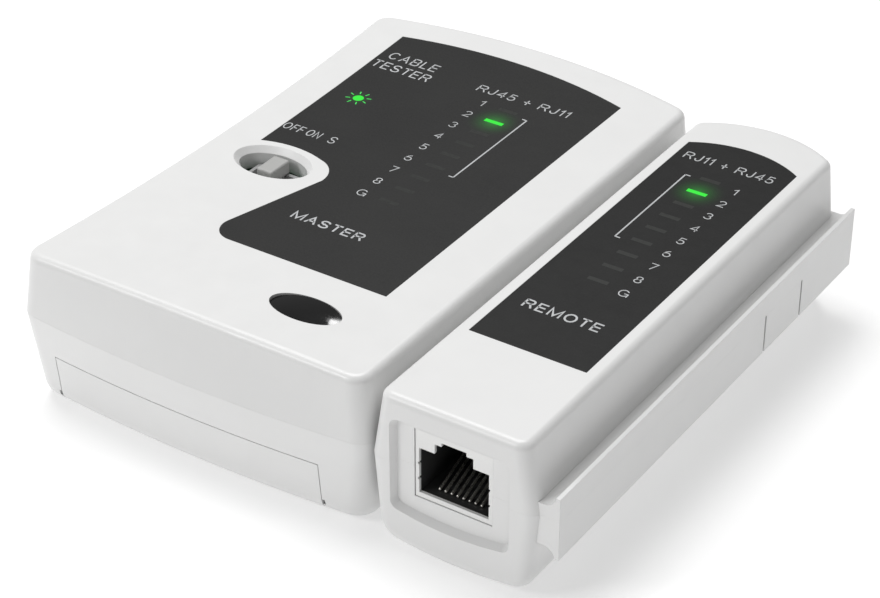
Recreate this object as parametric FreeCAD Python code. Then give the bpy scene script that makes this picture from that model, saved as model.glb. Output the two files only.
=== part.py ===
import FreeCAD, Part
import math
import os

# Network cable tester: a wide master case and a narrow remote case that docks on the master's right
# side. Millimetres, +X right, +Y back, +Z up. The origin is the middle of the footprint at table level.

V = FreeCAD.Vector

# Cases
MASTER_W = 66.0            # master width at the parting line, across its flared left corners
MASTER_L = 104.6           # master length at the parting line, front bow to back apex
CASE_H = 27.0              # height of both cases
REMOTE_W = 28.4            # remote width at the parting line, without its rail
REMOTE_L = 98.6            # remote length, flat front to back apex
REMOTE_TOP_W = 24.7        # remote width at the top face
DOCK_GAP = 0.3             # air between the docked cases
WALL = 1.8                 # case wall, floor and ceiling
MASTER_SPLIT = CASE_H - 10.9    # height of the master's parting line
REMOTE_SPLIT = CASE_H - 11.5    # height of the remote's parting line
FRONT_BOW = 1.9            # how far the master's front bows out at the parting line
BACK_DROP_LEFT = 4.1       # how far the master's back corners lie in front of its apex
BACK_DROP_RIGHT = 5.3
REMOTE_BACK_R = 20.5       # plan radius of the remote's back end
MASTER_CORNER_R = 3.0
MASTER_BASE_CORNER_R = 4.4
CORNER_SHRINK = 0.8        # share of an inset that comes off the master's corner radius
REMOTE_CORNER_R = 2.2
REMOTE_BELLY_R = 4.0       # lower long edges of the remote
REMOTE_BELLY = 1.2         # how far the remote's underside bulges below its sides
REMOTE_LEAN = 1.3          # how far the remote's lower sides lean in
TOP_EDGE_R = 1.3
BASE_EDGE_R = 3.2
LIP_H = 1.0                # tongue of the master's bottom shell inside its top shell
LIP_T = 0.8
LIP_CLEAR = 0.12

# Dovetail rail and groove
RAIL_DEPTH = 3.0
RAIL_NECK_H = 7.2
RAIL_TIP_H = 10.7
RAIL_TIP_T = 0.7
RAIL_FLARE_START = 0.3     # straight part of the neck outside the wall
RAIL_FLARE_X = 0.58        # a point of the flare's curve, as shares of its depth and its height
RAIL_FLARE_Z = 0.3
RAIL_Z = CASE_H - 12.95    # height of the rail's middle
RAIL_ROOT = 1.6            # how deep the rail is rooted in the wall that carries it
MASTER_RAIL_START = 3.0    # rail ends behind the front plane
REMOTE_RAIL_START = 1.2
RAIL_END = 94.4
RAIL_CLEAR = 0.25
GROOVE_WALL = 1.1
GROOVE_END_GAP = 0.4
DETENT_Y = (63.4, 75.8)    # slits that free the flexible tab of the rail
SLIT_W = 0.5
SLIT_ROOT = 0.5            # rail left whole next to the wall

# Boards
BOARD_T = 1.2
BOARD_ROOM = 2.2           # ceiling to board
MASTER_BOARD_EDGE = {"left": 6.0, "right": 2.9, "front": 5.0, "back": 6.0}
REMOTE_BOARD_EDGE = {"side": 4.3, "front": 0.5, "back": 4.5}
CHIP_BODY = (9.9, 3.9, 1.5)
CHIP_PINS = 7              # legs on each side
CHIP_PITCH = 1.27
CHIP_LEG = (0.4, 1.0, 0.2)    # width, reach and thickness
CHIP_FLOAT = 0.1           # chip body off the board
RESISTOR = (1.2, 2.0, 0.6)
DIODE = (1.4, 2.7, 1.1)
CAPACITOR = (2.5, 7.0)     # radius and height
STANDOFF_R = 2.5

# Labels and light windows
LABEL_T = 0.25
LABEL_DEPTH = 0.3
LIGHT_COUNT = 9
LIGHT_PITCH = 4.44
WINDOW_W = 3.5
WINDOW_L = 0.9
LED_W = 2.0
LED_L = 1.25
LED_H = 0.8
LED_GAP = 0.1
POWER_WINDOW_R = 0.95

# Slide switch
SWITCH_RIM = (7.2, 4.7)    # half axes of the oval recess at the top face
SWITCH_THROAT = (6.3, 3.8)
SWITCH_BEVEL = 1.0
SWITCH_WELL_T = 0.8        # wall of the oval well below the ceiling
SWITCH_WELL_GAP = 0.3      # air between the well and the board
SWITCH_W = 9.2
SWITCH_L = 4.6
SWITCH_H = 1.1
SWITCH_SLOT_SPARE = 0.3    # slot beyond the knob's stem at each end of its travel
KNOB_W = 3.1
KNOB_L = 5.0
KNOB_STEM = (2.4, 2.6)
KNOB_TOP_GAP = 0.4         # knob top below the top face
KNOB_FLOAT = 0.3
KNOB_TRAVEL = 2.5
KNOB_EDGE_R = 0.35

# Push button
BUTTON_AXES = (6.1, 2.95)  # half axes of the oval cap
BUTTON_CLEAR = 0.2
BUTTON_FLANGE = 1.1
BUTTON_FLANGE_T = 0.7
BUTTON_TRAVEL = 0.4
TACT_W = 4.6
TACT_H = 0.9
PLUNGER_R = 0.95
PLUNGER_CLEAR = 0.05
BUTTON_DOME_R = 36.0
BUTTON_PROUD = 0.15        # middle of the cap above the top face
BUTTON_STEM_R = 1.2
BUTTON_SEAT = 0.1          # air above the flange and above the plunger

# Battery and its door
BATTERY = (46.2, 26.0, 17.0)
BATTERY_EDGE_R = 1.5
BATTERY_LIFT = 0.3         # air between the battery and the door
TERMINAL_H = 2.3
TERMINAL_R = (2.9, 3.2)
TERMINAL_PITCH = 12.7
TERMINAL_CLEAR = 0.1
SNAP_GAP = 0.3             # battery to snap
SNAP_COVER = 1.2           # snap beyond the terminals
SNAP_HALF = (12.4, 6.2)    # half length and half height
BATTERY_WALL_T = 1.2       # wall behind the battery door
BATTERY_WALL_GAP = 1.0
BATTERY_WALL_SIDE = 2.0    # that wall beyond the battery at each side
DOOR_MARGIN = 2.1          # door beyond the battery at each side
DOOR_W = BATTERY[0] + 2 * DOOR_MARGIN
DOOR_L = 30.0
DOOR_H = CASE_H - 17.4     # top of the door's front upstand
DOOR_GAP = 0.12
TONGUE_W = 0.5             # door tongue beyond the door's sides, over the case floor
TONGUE_ROOT = 0.6
TONGUE_T = 0.8
TONGUE_START = 5.0         # tongue's front end behind the front plane
GRIP_W = 16.0              # thumb grooves under the door
GRIP_L = 0.8
GRIP_DEPTH = 0.5
GRIP_PLACES = (8.0, 10.0, 12.0)
LEAD_R = 0.65
LEAD_BEND = 2.0

# Screws
CASE_SCREW_R = 1.1
CASE_HEAD_R = 2.3
CASE_HEAD_H = 1.6
CASE_HEAD_SEAT = 3.0       # height of the face that the screw head presses on
CASE_SCREW_TOP = CASE_H - 7.6
BASE_BOSS_R = 3.5
TOP_BOSS_R = 2.8
THREAD_GAP = 0.02
BOARD_SCREW_R = 1.0
BOARD_HEAD_R = 2.0
BOARD_HEAD_H = 1.1
HEAD_CLEAR = 0.3           # around a sunk screw head and its shank
BOSS_CLEAR = 0.3           # board around a boss
HEAD_OVERLAP = 0.3         # shank inside its head
CROSS_SLOT = (2.6, 0.6)    # arm length and width of the driver's cross
CROSS_DEPTH = 0.9

# Sockets: (opening width, opening height, latch width and top, narrow latch width and top, contacts)
RJ45 = {"w": 11.8, "h": 7.85, "latch": (6.5, 9.5), "tip": (4.2, 10.15), "pins": 8, "pitch": 1.02}
RJ11 = {"w": 9.9, "h": 6.85, "latch": (5.0, 8.3), "tip": (3.3, 8.95), "pins": 6, "pitch": 1.02}
NOSE_RIM = 0.6             # housing around the opening, at the sides
NOSE_RIM_LOW = 0.8
NOSE_RIM_TOP = 0.85
BODY_RIM = 1.8
BODY_L = 14.0
SEAT_RIM = 0.75            # housing above the opening, up to the board
LINER_T = 0.35
LINER_START = 0.5
SOCKET_DEPTH = 12.9
CONTACT_R = 0.24
CONTACT_RISE = 4.3
CONTACT_START = 1.9        # contact tips behind the mouth
NOTCH_Z = (2.2, 4.9)       # small notches in the mouth's sides
NOTCH_W = 0.4
NOTCH_H = 0.45
BODY_RIM_LOW = 0.4         # housing body below its nose
PORT_DEPTH = 1.2           # recess in the case in front of a socket
PORT_CLEAR = 0.1
PORT_SET_BACK = 0.15       # socket face behind the recess floor
NOSE_L = WALL - PORT_SET_BACK
PORT_FLOOR = {"side": 3.1, "low": 2.1, "high": 1.0, "sag": 0.9}    # recess floor around the nose
PORT_RIM = {"side": 3.6, "low": 2.6, "high": 1.35, "sag": 1.1}      # recess rim around the nose
PORT_CORNER_R = 1.5
PORT_REACH = 4.0           # how far the port's block and cut run past its rim
PORT_BACKING = 5.0         # thick wall beside the socket's nose
BACK_PORT_IN = 3.5         # socket recess floor in front of the back apex

# Derived places
TOTAL_W = MASTER_W + DOCK_GAP + REMOTE_W + RAIL_DEPTH
MASTER_X0 = -TOTAL_W / 2
MASTER_X1 = MASTER_X0 + MASTER_W
MASTER_XC = (MASTER_X0 + MASTER_X1) / 2
REMOTE_X0 = MASTER_X1 + DOCK_GAP
REMOTE_X1 = REMOTE_X0 + REMOTE_W
REMOTE_XC = (REMOTE_X0 + REMOTE_X1) / 2
FRONT_Y = -MASTER_L / 2 + FRONT_BOW
BACK_Y = MASTER_L / 2
REMOTE_BACK_Y = FRONT_Y + REMOTE_L
CEILING = CASE_H - WALL
BOARD_TOP = CEILING - BOARD_ROOM
BOARD_BASE = BOARD_TOP - BOARD_T
LABEL_TOP = CASE_H - LABEL_DEPTH + LABEL_T

SWITCH_X = MASTER_X0 + 17.1
SWITCH_Y = FRONT_Y + 43.9
BUTTON_X = MASTER_X1 - 18.8
BUTTON_Y = FRONT_Y + 11.5
MASTER_LIGHT_X = MASTER_X1 - 26.05
MASTER_LIGHT_Y = FRONT_Y + 43.9
REMOTE_LIGHT_X = REMOTE_XC - 1.15
REMOTE_LIGHT_Y = FRONT_Y + 42.2
POWER_X = MASTER_X0 + 16.2
POWER_Y = FRONT_Y + 69.4
MASTER_RJ45_X = MASTER_X1 - 21.0
MASTER_RJ11_X = MASTER_X0 + 21.8
REMOTE_PORT_X = REMOTE_XC - 0.4
BATTERY_X0 = MASTER_XC - 25.3
BATTERY_X1 = BATTERY_X0 + BATTERY[0]
BATTERY_Y0 = FRONT_Y + 3.4
BATTERY_Z0 = WALL + BATTERY_LIFT
DOOR_X0 = BATTERY_X0 - 0.9
DOOR_X1 = DOOR_X0 + DOOR_W
DOOR_Y1 = FRONT_Y + DOOR_L

MASTER_SCREWS = [(MASTER_X0 + 9.3, FRONT_Y + 38.0), (MASTER_X1 - 9.5, FRONT_Y + 38.0),
                 (MASTER_X0 + 9.3, BACK_Y - 14.0), (MASTER_X1 - 7.0, BACK_Y - 14.0)]
REMOTE_STANDOFFS = [(REMOTE_X0 + 8.0, FRONT_Y + 14.0), (REMOTE_X0 + 8.0, REMOTE_BACK_Y - 18.0)]
REMOTE_SCREWS = [(REMOTE_X1 - 7.1, FRONT_Y + 32.0), (REMOTE_X1 - 7.1, REMOTE_BACK_Y - 30.0)]
BOARD_SCREWS = [(MASTER_XC, FRONT_Y + 35.0), (MASTER_X0 + 8.0, FRONT_Y + 62.0),
                (MASTER_X1 - 6.0, FRONT_Y + 62.0), (MASTER_X1 - 6.0, FRONT_Y + 12.0)]


# Basic shapes

def line(a, b):
    return Part.LineSegment(a, b).toShape()


def arc(a, middle, b):
    return Part.Arc(a, middle, b).toShape()


def prism(edges, direction):
    return Part.Face(Part.Wire(edges)).extrude(direction)


def block(x0, x1, y0, y1, z0, z1):
    return Part.makeBox(x1 - x0, y1 - y0, z1 - z0, V(x0, y0, z0))


def centred(x, y, width, length, z0, z1):
    return block(x - width / 2, x + width / 2, y - length / 2, y + length / 2, z0, z1)


def post(x, y, radius, z0, z1):
    return Part.makeCylinder(radius, z1 - z0, V(x, y, z0))


def oval(x, y, z, axes):
    return Part.Wire([Part.Ellipse(V(x, y, z), axes[0], axes[1]).toShape()])


def oval_post(x, y, axes, z0, z1):
    return Part.Face(oval(x, y, z0, axes)).extrude(V(0, 0, z1 - z0))


def fuse_all(first, others):
    return first.multiFuse(others) if others else first


def cut_all(shape, tools):
    for tool in tools:
        shape = shape.cut(tool)
    return shape


def rounded_outline(edges, radius, normal=V(0, 0, 1)):
    # The outline of a flat face with its corners rounded.
    slab = prism(edges, normal)
    corners = [edge for edge in slab.Edges
               if abs((edge.lastVertex().Point - edge.firstVertex().Point).dot(normal)) > 0.5]
    slab = slab.makeFillet(radius, corners)
    base = min(slab.Faces, key=lambda face: face.CenterOfMass.dot(normal))
    return base.OuterWire


def edges_at(shape, z):
    return [edge for edge in shape.Edges
            if abs(edge.BoundBox.ZMin - z) < 1e-4 and abs(edge.BoundBox.ZMax - z) < 1e-4]


def edges_through(shape, z):
    # Edges that leave the plane at this height.
    return [edge for edge in shape.Edges
            if edge.BoundBox.ZLength > 1.0
            and min(abs(edge.BoundBox.ZMin - z), abs(edge.BoundBox.ZMax - z)) < 1e-4]


def tube(points, radius, bend):
    # A round lead along straight runs joined by tangent arcs.
    edges = []
    start = points[0]
    for before, corner, after in zip(points, points[1:], points[2:]):
        toward = (corner - before).normalize()
        away = (after - corner).normalize()
        first = corner - toward * bend
        last = corner + away * bend
        middle = corner + (away - toward).normalize() * (bend * (math.sqrt(2) - 1))
        edges.append(line(start, first))
        edges.append(arc(first, middle, last))
        start = last
    edges.append(line(start, points[-1]))
    path = Part.Wire(edges)
    ring = Part.Wire([Part.Circle(points[0], points[1] - points[0], radius).toShape()])
    return path.makePipeShell([ring], True, False)


# Master case form: three outlines with a ruled wall between each pair

CREST = {"left": 0.0, "right": 0.0, "front": 0.0, "bow": FRONT_BOW, "back": 0.0, "waist": 2.2}
ROOF = {"left": 1.35, "right": 0.85, "front": 0.3, "bow": -0.5, "back": 0.9, "waist": 2.3}
BASE = {"left": 0.65, "right": 1.2, "front": 1.5, "bow": 1.6, "back": 2.3, "waist": 2.0}


def master_outline(level, z, inset, radius):
    x0 = MASTER_X0 + level["left"] + inset
    x1 = MASTER_X1 - level["right"] - inset
    y0 = FRONT_Y + level["front"] + inset
    y1 = BACK_Y - level["back"] - inset
    front_left = V(x0, y0, z)
    front_right = V(x1, y0, z)
    back_right = V(x1, y1 - BACK_DROP_RIGHT, z)
    back_left = V(x0, y1 - BACK_DROP_LEFT, z)
    edges = [arc(front_left, V(MASTER_XC, y0 - level["bow"], z), front_right),
             line(front_right, back_right),
             arc(back_right, V(MASTER_XC, y1, z), back_left),
             arc(back_left, V(x0 + level["waist"], (front_left.y + back_left.y) / 2, z), front_left)]
    return rounded_outline(edges, radius)


def master_upper(inset, top):
    radius = MASTER_CORNER_R - inset * CORNER_SHRINK
    low = master_outline(CREST, MASTER_SPLIT, inset, radius)
    high = master_outline(ROOF, top, inset, radius)
    return Part.makeLoft([low, high], True, True)


def master_lower(inset, bottom):
    shrink = inset * CORNER_SHRINK
    low = master_outline(BASE, bottom, inset, MASTER_BASE_CORNER_R - shrink)
    high = master_outline(CREST, MASTER_SPLIT, inset, MASTER_CORNER_R - shrink)
    return Part.makeLoft([low, high], True, True)


def lip_ring(grow):
    # The tongue band just inside the parting line.
    outer = Part.Face(master_outline(CREST, MASTER_SPLIT, WALL - LIP_T - grow, MASTER_CORNER_R - 1.0))
    inner = Part.Face(master_outline(CREST, MASTER_SPLIT, WALL, MASTER_CORNER_R - 1.5))
    ring = outer.extrude(V(0, 0, LIP_H + grow))
    if grow:
        return ring
    return ring.cut(inner.extrude(V(0, 0, LIP_H)))


# Remote case form: one cross-section run from front to back, ended by a plan arc

def remote_section(inset):
    y = FRONT_Y
    half = REMOTE_W / 2
    top = REMOTE_TOP_W / 2
    foot = half - REMOTE_LEAN
    roof_right = V(REMOTE_XC + top, y, CASE_H)
    roof_left = V(REMOTE_XC - top, y, CASE_H)
    crest_right = V(REMOTE_XC + half, y, REMOTE_SPLIT)
    crest_left = V(REMOTE_XC - half, y, REMOTE_SPLIT)
    base_right = V(REMOTE_XC + foot, y, REMOTE_BELLY)
    base_left = V(REMOTE_XC - foot, y, REMOTE_BELLY)
    edges = [line(roof_left, roof_right),
             line(roof_right, crest_right),
             line(crest_right, base_right),
             arc(base_right, V(REMOTE_XC, y, 0), base_left),
             line(base_left, crest_left),
             line(crest_left, roof_left)]
    face = Part.Face(Part.Wire(edges))
    return face.makeOffset2D(-inset) if inset else face


def remote_plan(inset):
    radius = REMOTE_BACK_R - inset
    half = min(REMOTE_W / 2 + 1.0, radius - 1.0)
    apex = REMOTE_BACK_Y - inset
    side = apex - radius + math.sqrt(radius ** 2 - half ** 2)
    z = -1.0
    front_left = V(REMOTE_XC - half, FRONT_Y + inset, z)
    front_right = V(REMOTE_XC + half, FRONT_Y + inset, z)
    back_right = V(REMOTE_XC + half, side, z)
    back_left = V(REMOTE_XC - half, side, z)
    edges = [line(front_left, front_right), line(front_right, back_right),
             arc(back_right, V(REMOTE_XC, apex, z), back_left), line(back_left, front_left)]
    return prism(edges, V(0, 0, CASE_H + 2))


def remote_form(inset):
    return remote_section(inset).extrude(V(0, REMOTE_L + 1, 0)).common(remote_plan(inset))


def above(z):
    return block(-TOTAL_W, TOTAL_W, -MASTER_L, MASTER_L, z, CASE_H * 2)


def below(z):
    return block(-TOTAL_W, TOTAL_W, -MASTER_L, MASTER_L, -CASE_H, z)


# Dovetail rail: a narrow neck that flares to a wide tip

def rail_profile(x, y, root):
    neck = RAIL_NECK_H / 2
    tip = RAIL_TIP_H / 2
    flare_x = x + RAIL_DEPTH - RAIL_TIP_T
    neck_x = x + RAIL_FLARE_START
    bend_x = x + RAIL_DEPTH * RAIL_FLARE_X
    bend = neck + (tip - neck) * RAIL_FLARE_Z
    edges = []
    edges.append(line(V(x - root, y, RAIL_Z + neck), V(neck_x, y, RAIL_Z + neck)))
    edges.append(arc(V(neck_x, y, RAIL_Z + neck), V(bend_x, y, RAIL_Z + bend),
                     V(flare_x, y, RAIL_Z + tip)))
    edges.append(line(V(flare_x, y, RAIL_Z + tip), V(x + RAIL_DEPTH, y, RAIL_Z + tip)))
    edges.append(line(V(x + RAIL_DEPTH, y, RAIL_Z + tip), V(x + RAIL_DEPTH, y, RAIL_Z - tip)))
    edges.append(line(V(x + RAIL_DEPTH, y, RAIL_Z - tip), V(flare_x, y, RAIL_Z - tip)))
    edges.append(arc(V(flare_x, y, RAIL_Z - tip), V(bend_x, y, RAIL_Z - bend),
                     V(neck_x, y, RAIL_Z - neck)))
    edges.append(line(V(neck_x, y, RAIL_Z - neck), V(x - root, y, RAIL_Z - neck)))
    edges.append(line(V(x - root, y, RAIL_Z - neck), V(x - root, y, RAIL_Z + neck)))
    return Part.Face(Part.Wire(edges))


def rail(x, start, split):
    body = rail_profile(x, FRONT_Y + start, RAIL_ROOT).extrude(V(0, RAIL_END - start, 0))
    slits = [block(x + SLIT_ROOT, x + RAIL_DEPTH + 1, FRONT_Y + y - SLIT_W / 2, FRONT_Y + y + SLIT_W / 2,
                   RAIL_Z - RAIL_TIP_H, split) for y in DETENT_Y]
    return cut_all(body, slits)


def groove(grow, start):
    # Closed in front of the master's rail and open at the back end.
    profile = rail_profile(MASTER_X1, FRONT_Y + start, RAIL_ROOT + 2).makeOffset2D(grow)
    return profile.extrude(V(0, REMOTE_L, 0))


# Sockets, built with the mouth at y = 0 facing -Y and the opening's floor at z = 0

def opening(jack, y0, y1):
    half = jack["w"] / 2
    latch, latch_top = jack["latch"]
    tip, tip_top = jack["tip"]
    right = [(half, 0), (half, jack["h"]), (latch / 2, jack["h"]), (latch / 2, latch_top),
             (tip / 2, latch_top), (tip / 2, tip_top)]
    left = [(-x, z) for x, z in reversed(right)]
    points = [V(x, y0, z) for x, z in right + left]
    return Part.Face(Part.makePolygon(points + points[:1])).extrude(V(0, y1 - y0, 0))


def socket_liner_block(jack, grow):
    half = jack["w"] / 2 + LINER_T + grow
    return block(-half, half, LINER_START, LINER_START + SOCKET_DEPTH + 1.0,
                 -LINER_T - grow, jack["tip"][1] + LINER_T + grow)


def socket_housing(jack):
    nose_half = jack["w"] / 2 + NOSE_RIM
    body_half = jack["w"] / 2 + BODY_RIM
    top = jack["tip"][1]
    nose = block(-nose_half, nose_half, 0, NOSE_L, -NOSE_RIM_LOW, top + NOSE_RIM_TOP)
    body = block(-body_half, body_half, NOSE_L, NOSE_L + BODY_L,
                 -NOSE_RIM_LOW - BODY_RIM_LOW, top + SEAT_RIM)
    notches = [centred(side * jack["w"] / 2, 0, NOTCH_W, 2 * LINER_START, z, z + NOTCH_H)
               for side in (-1, 1) for z in NOTCH_Z]
    shape = nose.fuse(body)
    return cut_all(shape, [socket_liner_block(jack, 0), opening(jack, -1, LINER_START + 1)] + notches)


def socket_liner(jack):
    return socket_liner_block(jack, 0).cut(opening(jack, LINER_START - 1, SOCKET_DEPTH))


def socket_contacts(jack):
    run = SOCKET_DEPTH - CONTACT_START
    wires = []
    for pin in range(jack["pins"]):
        x = (pin - (jack["pins"] - 1) / 2) * jack["pitch"]
        foot = V(x, CONTACT_START, CONTACT_R + 0.02)
        wire = Part.makeCylinder(CONTACT_R, run + 3, foot, V(0, run, CONTACT_RISE))
        wire = wire.fuse(Part.makeSphere(CONTACT_R, foot))
        wires.append(wire.common(block(x - 1, x + 1, 0, SOCKET_DEPTH, 0, jack["tip"][1])))
    return Part.makeCompound(wires)


def placed(shape, x, y, z, facing):
    shape = shape.copy()
    if facing > 0:
        shape.rotate(V(0, 0, 0), V(0, 0, 1), 180)
    shape.translate(V(x, y, z))
    return shape


def port_outline(jack, x, y, sill, margin):
    half = jack["w"] / 2 + NOSE_RIM + margin["side"]
    z0 = sill - NOSE_RIM_LOW - margin["low"]
    z1 = sill + jack["tip"][1] + NOSE_RIM_TOP + margin["high"]
    edges = [arc(V(x - half, y, z0), V(x, y, z0 - margin["sag"]), V(x + half, y, z0)),
             line(V(x + half, y, z0), V(x + half, y, z1)),
             line(V(x + half, y, z1), V(x - half, y, z1)),
             line(V(x - half, y, z1), V(x - half, y, z0))]
    return rounded_outline(edges, PORT_CORNER_R, V(0, 1, 0))


def port(jack, x, floor_y, facing):
    # The thick wall, the flared recess and the window that a socket's nose stands in.
    sill = BOARD_BASE - SEAT_RIM - jack["tip"][1]
    rim_y = floor_y + facing * PORT_DEPTH
    floor = port_outline(jack, x, floor_y, sill, PORT_FLOOR)
    rim = port_outline(jack, x, rim_y, sill, PORT_RIM)
    flare = Part.makeLoft([floor, rim], True, True)
    mouth = Part.Face(rim).extrude(V(0, facing * (PORT_REACH + 2.0), 0))
    half = jack["w"] / 2 + NOSE_RIM
    inner_y = floor_y - facing * WALL
    outer_y = rim_y + facing * PORT_REACH
    wide = half + PORT_BACKING
    backing = block(x - wide, x + wide, min(inner_y, outer_y), max(inner_y, outer_y), WALL, CEILING)
    window = block(x - half - PORT_CLEAR, x + half + PORT_CLEAR, floor_y - 4, floor_y + 4,
                   sill - NOSE_RIM_LOW - PORT_CLEAR, sill + jack["tip"][1] + NOSE_RIM_TOP + PORT_CLEAR)
    return {"backing": backing, "cuts": [flare, mouth, window]}


def socket_nodes(prefix, jack, x, floor_y, facing):
    sill = BOARD_BASE - SEAT_RIM - jack["tip"][1]
    face_y = floor_y - facing * PORT_SET_BACK
    pieces = {"housing": socket_housing(jack), "liner": socket_liner(jack), "contacts": socket_contacts(jack)}
    return {prefix + "_" + name: placed(shape, x, face_y, sill, facing) for name, shape in pieces.items()}


MASTER_PORT_Y = BACK_Y - BACK_PORT_IN
REMOTE_FRONT_PORT_Y = FRONT_Y + PORT_DEPTH
REMOTE_BACK_PORT_Y = REMOTE_BACK_Y - BACK_PORT_IN
MASTER_PORTS = [port(RJ45, MASTER_RJ45_X, MASTER_PORT_Y, 1), port(RJ11, MASTER_RJ11_X, MASTER_PORT_Y, 1)]
REMOTE_PORTS = [port(RJ45, REMOTE_PORT_X, REMOTE_FRONT_PORT_Y, -1),
                port(RJ11, REMOTE_XC, REMOTE_BACK_PORT_Y, 1)]


# Labels

def master_label_edges(z):
    x1 = MASTER_X1 - 10.7
    y0 = FRONT_Y + 20.8
    back_left = V(MASTER_X0 + 9.7, BACK_Y - 10.2, z)
    back_right = V(x1, BACK_Y - 11.8, z)
    neck = V(MASTER_X0 + 11.1, FRONT_Y + 48.6, z)
    shoulder = V(MASTER_X0 + 23.3, FRONT_Y + 48.7, z)
    tip = V(MASTER_X0 + 27.3, FRONT_Y + 43.4, z)
    hip = V(MASTER_X0 + 22.3, FRONT_Y + 25.6, z)
    foot = V(MASTER_X0 + 25.8, y0, z)
    return [line(foot, V(x1, y0, z)),
            line(V(x1, y0, z), back_right),
            arc(back_right, V(MASTER_XC - 0.6, BACK_Y - 7.7, z), back_left),
            arc(back_left, V(MASTER_X0 + 10.7, FRONT_Y + 70.0, z), neck),
            arc(neck, V(MASTER_X0 + 17.6, FRONT_Y + 49.8, z), shoulder),
            arc(shoulder, V(MASTER_X0 + 26.4, FRONT_Y + 46.6, z), tip),
            line(tip, hip),
            arc(hip, V(MASTER_X0 + 23.0, FRONT_Y + 22.0, z), foot)]


def remote_label_edges(z):
    x0 = REMOTE_X0 + 4.1
    x1 = REMOTE_X1 - 4.3
    y0 = FRONT_Y + 20.1
    back_right = V(x1, REMOTE_BACK_Y - 12.0, z)
    back_left = V(x0, REMOTE_BACK_Y - 11.6, z)
    return [line(V(x0, y0, z), V(x1, y0, z)),
            line(V(x1, y0, z), back_right),
            arc(back_right, V(REMOTE_XC, REMOTE_BACK_Y - 8.8, z), back_left),
            line(back_left, V(x0, y0, z))]


def lights(x, first_y, width, length, z0, z1):
    return [centred(x, first_y + n * LIGHT_PITCH, width, length, z0, z1) for n in range(LIGHT_COUNT)]


def windows(x, first_y):
    return lights(x, first_y, WINDOW_W, WINDOW_L, BOARD_TOP + LED_H + LED_GAP, LABEL_TOP)


def leds(x, first_y):
    return Part.makeCompound(lights(x, first_y, LED_W, LED_L, BOARD_TOP, BOARD_TOP + LED_H))


def power_window():
    return post(POWER_X, POWER_Y, POWER_WINDOW_R, BOARD_TOP + LED_H + LED_GAP, LABEL_TOP)


# Case shells

def screw_passages(places, split):
    cuts = []
    for x, y in places:
        cuts.append(post(x, y, CASE_HEAD_R + HEAD_CLEAR, -5, CASE_HEAD_SEAT))
        cuts.append(post(x, y, CASE_SCREW_R + HEAD_CLEAR, 0, split))
    return cuts


def pilot_holes(places, split):
    return [post(x, y, CASE_SCREW_R + THREAD_GAP, split - 1, CASE_SCREW_TOP + 1) for x, y in places]


def master_top_shell():
    form = master_upper(0, CASE_H)
    form = form.makeFillet(TOP_EDGE_R, edges_at(form, CASE_H))
    shell = form.cut(master_upper(WALL, CEILING))
    added = [post(x, y, TOP_BOSS_R, MASTER_SPLIT, CASE_H).common(form) for x, y in MASTER_SCREWS]
    added += [post(x, y, STANDOFF_R, BOARD_TOP, CEILING + 0.5) for x, y in BOARD_SCREWS]
    added += [p["backing"].common(form) for p in MASTER_PORTS]
    added.append(rail(MASTER_X1, MASTER_RAIL_START, MASTER_SPLIT).common(above(MASTER_SPLIT)))
    well_z = BOARD_TOP + SWITCH_WELL_GAP
    well = [axis + SWITCH_WELL_T for axis in SWITCH_THROAT]
    added.append(oval_post(SWITCH_X, SWITCH_Y, well, well_z, CEILING + 0.5))
    shell = fuse_all(shell, added)
    cuts = [prism(master_label_edges(CASE_H - LABEL_DEPTH), V(0, 0, 1)), lip_ring(LIP_CLEAR), power_window()]
    cuts += windows(MASTER_LIGHT_X, MASTER_LIGHT_Y)
    cuts += pilot_holes(MASTER_SCREWS, MASTER_SPLIT)
    cuts += [post(x, y, BOARD_SCREW_R + THREAD_GAP, BOARD_TOP - 1, CEILING) for x, y in BOARD_SCREWS]
    cuts += [c for p in MASTER_PORTS for c in p["cuts"]]
    bevel_z = CASE_H - SWITCH_BEVEL
    cuts.append(Part.makeLoft([oval(SWITCH_X, SWITCH_Y, bevel_z, SWITCH_THROAT),
                               oval(SWITCH_X, SWITCH_Y, CASE_H, SWITCH_RIM)], True))
    cuts.append(oval_post(SWITCH_X, SWITCH_Y, SWITCH_THROAT, well_z - 1, bevel_z))
    hole = [axis + BUTTON_CLEAR for axis in BUTTON_AXES]
    cuts.append(oval_post(BUTTON_X, BUTTON_Y, hole, CEILING - 1, CASE_H + 1))
    return cut_all(shell, cuts)


def door_zone(grow):
    return block(DOOR_X0 - grow, DOOR_X1 + grow, -MASTER_L, DOOR_Y1 + grow, -1, DOOR_H + grow)


def tongue_slots():
    # Slots in the front wall that let the door's tongues slide out.
    z0 = WALL
    z1 = WALL + TONGUE_T + 2 * DOOR_GAP
    reach = TONGUE_W + DOOR_GAP
    y1 = FRONT_Y + TONGUE_START + 1.0
    return [block(DOOR_X0 - reach, DOOR_X0, -MASTER_L, y1, z0, z1),
            block(DOOR_X1, DOOR_X1 + reach, -MASTER_L, y1, z0, z1)]


def master_lower_skin():
    form = master_lower(0, 0)
    form = form.makeFillet(BASE_EDGE_R, edges_at(form, 0))
    return form, form.cut(master_lower(WALL, WALL))


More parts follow.
